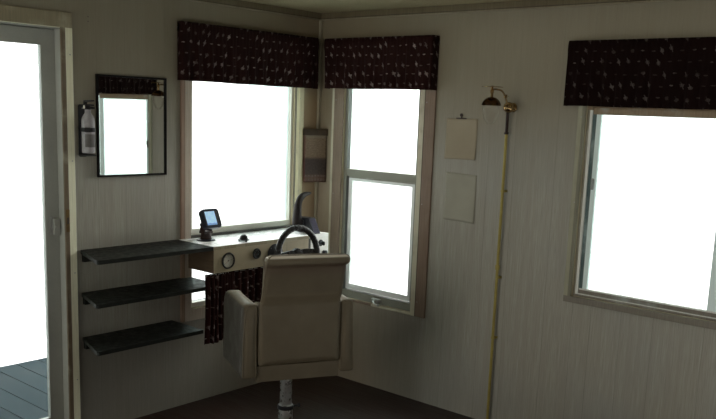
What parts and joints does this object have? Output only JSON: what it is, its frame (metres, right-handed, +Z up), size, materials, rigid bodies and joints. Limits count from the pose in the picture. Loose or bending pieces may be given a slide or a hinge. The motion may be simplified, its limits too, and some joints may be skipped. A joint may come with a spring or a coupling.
{
  "type": "houseboat cabin corner with helm station",
  "caption": "Forward corner of a houseboat cabin: two walls with windows and a sliding door, helm console, shelves, gas lamp and swivel helm chair on a timber floor with a strip of deck.",
  "frame": {"origin": "underside of the floor frame, straight below the inside corner of the front and side walls", "axes": "+X to starboard, +Y to the bow, +Z up; the cabin is at x < 0 and y < 0"},
  "size_m": [3.64, 4.6, 2.528],
  "materials": {
    "timber": "rough sawn",
    "floor": "worn sheet",
    "deck": "weathered",
    "walls": "printed panelling inside, white lap boards outside",
    "ceiling": "matt paint",
    "roof": "matt",
    "trim": "satin",
    "door_frame": "dull",
    "window_frame": "satin",
    "glass": "clear",
    "mirror_glass": "polished",
    "black_frame": "satin",
    "extinguisher": "gloss",
    "bracket": "satin",
    "shelves": "satin paint",
    "console": "satin",
    "console_top": "gloss",
    "instruments": "gloss",
    "wheel": "satin",
    "controls": "satin",
    "print_cloth": "printed cotton",
    "paper": "matt",
    "lamp_metal": "polished",
    "shade": "polished",
    "pipe": "satin",
    "crank": "satin",
    "pedestal": "satin",
    "vinyl": "vinyl"
  },
  "bodies": {
    "cabin": {"floor_frame": "timber", "cabin_floor": "floor", "fore_deck": "deck", "front_wall": "walls", "side_wall": "walls", "ceiling_panel": "ceiling", "roof_edge": "roof", "room_trim": "trim", "front_window_casing": "trim", "side_window_casing": "trim", "aft_window_casing": "trim", "door_casing": "trim", "door_frame": "door_frame", "door_fixed_panel": "door_frame", "door_fixed_glass": "glass", "front_window_frame": "window_frame", "front_window_glass": "glass", "side_window_frame": "window_frame", "side_upper_glass": "glass", "window_crank": "crank", "aft_window_frame": "window_frame", "aft_fixed_glass": "glass", "mirror_frame": "black_frame", "mirror_glass": "mirror_glass", "fire_extinguisher": "extinguisher", "extinguisher_bracket": "bracket", "shelf_upper": "shelves", "shelf_middle": "shelves", "shelf_lower": "shelves", "console_body": "console", "console_top": "console_top", "speed_gauge": "instruments", "engine_gauge": "instruments", "helm_bezel": "controls", "throttle_lever": "controls", "control_box": "controls", "depth_finder_foot": "controls", "compass": "instruments", "skirt_curtain": "print_cloth", "front_valance": "print_cloth", "side_valance": "print_cloth", "aft_valance": "print_cloth", "hanging_calendar": "paper", "lamp_fitting": "lamp_metal", "lamp_shade": "shade", "lamp_globe": "glass", "gas_pipe": "pipe", "chair_pedestal": "pedestal"},
    "sliding_door": {"door_slider": "door_frame", "door_slider_glass": "glass"},
    "side_window_sash": {"side_sash": "window_frame", "side_sash_glass": "glass"},
    "aft_window_sash": {"aft_sash": "window_frame", "aft_sash_glass": "glass"},
    "helm_wheel": {"steering_wheel": "wheel"},
    "finder_head": {"depth_finder_head": "controls"},
    "chair_seat": {"chair_shell": "vinyl", "seat_cushion": "vinyl", "back_cushion": "vinyl"}
  },
  "joints": [
    {"name": "door_slide", "type": "slide", "parent": "cabin", "child": "sliding_door", "axis": [-1, 0, 0], "range_m": [0, 0.66]},
    {"name": "aft_window_slide", "type": "slide", "parent": "cabin", "child": "aft_window_sash", "axis": [0, -1, 0], "range_m": [0, 0.4]},
    {"name": "side_window_swing", "type": "hinge", "parent": "cabin", "child": "side_window_sash", "pos_m": [0.066, -0.504, 1.4497], "axis": [0, -1, 0], "range_deg": [0, 40]},
    {"name": "helm_wheel_turn", "type": "hinge", "parent": "cabin", "child": "helm_wheel", "pos_m": [-0.646, -0.493, 1.053], "axis": [0, -0.9962, 0.0872], "range_deg": [-540, 540]},
    {"name": "depth_finder_tilt", "type": "hinge", "parent": "cabin", "child": "finder_head", "pos_m": [-0.973, -0.115, 1.2113], "axis": [1, 0, 0], "range_deg": [-15, 25]},
    {"name": "chair_swivel", "type": "hinge", "parent": "cabin", "child": "chair_seat", "pos_m": [-1.0632, -0.8495, 0.7], "axis": [0, 0, 1], "continuous": true}
  ]
}
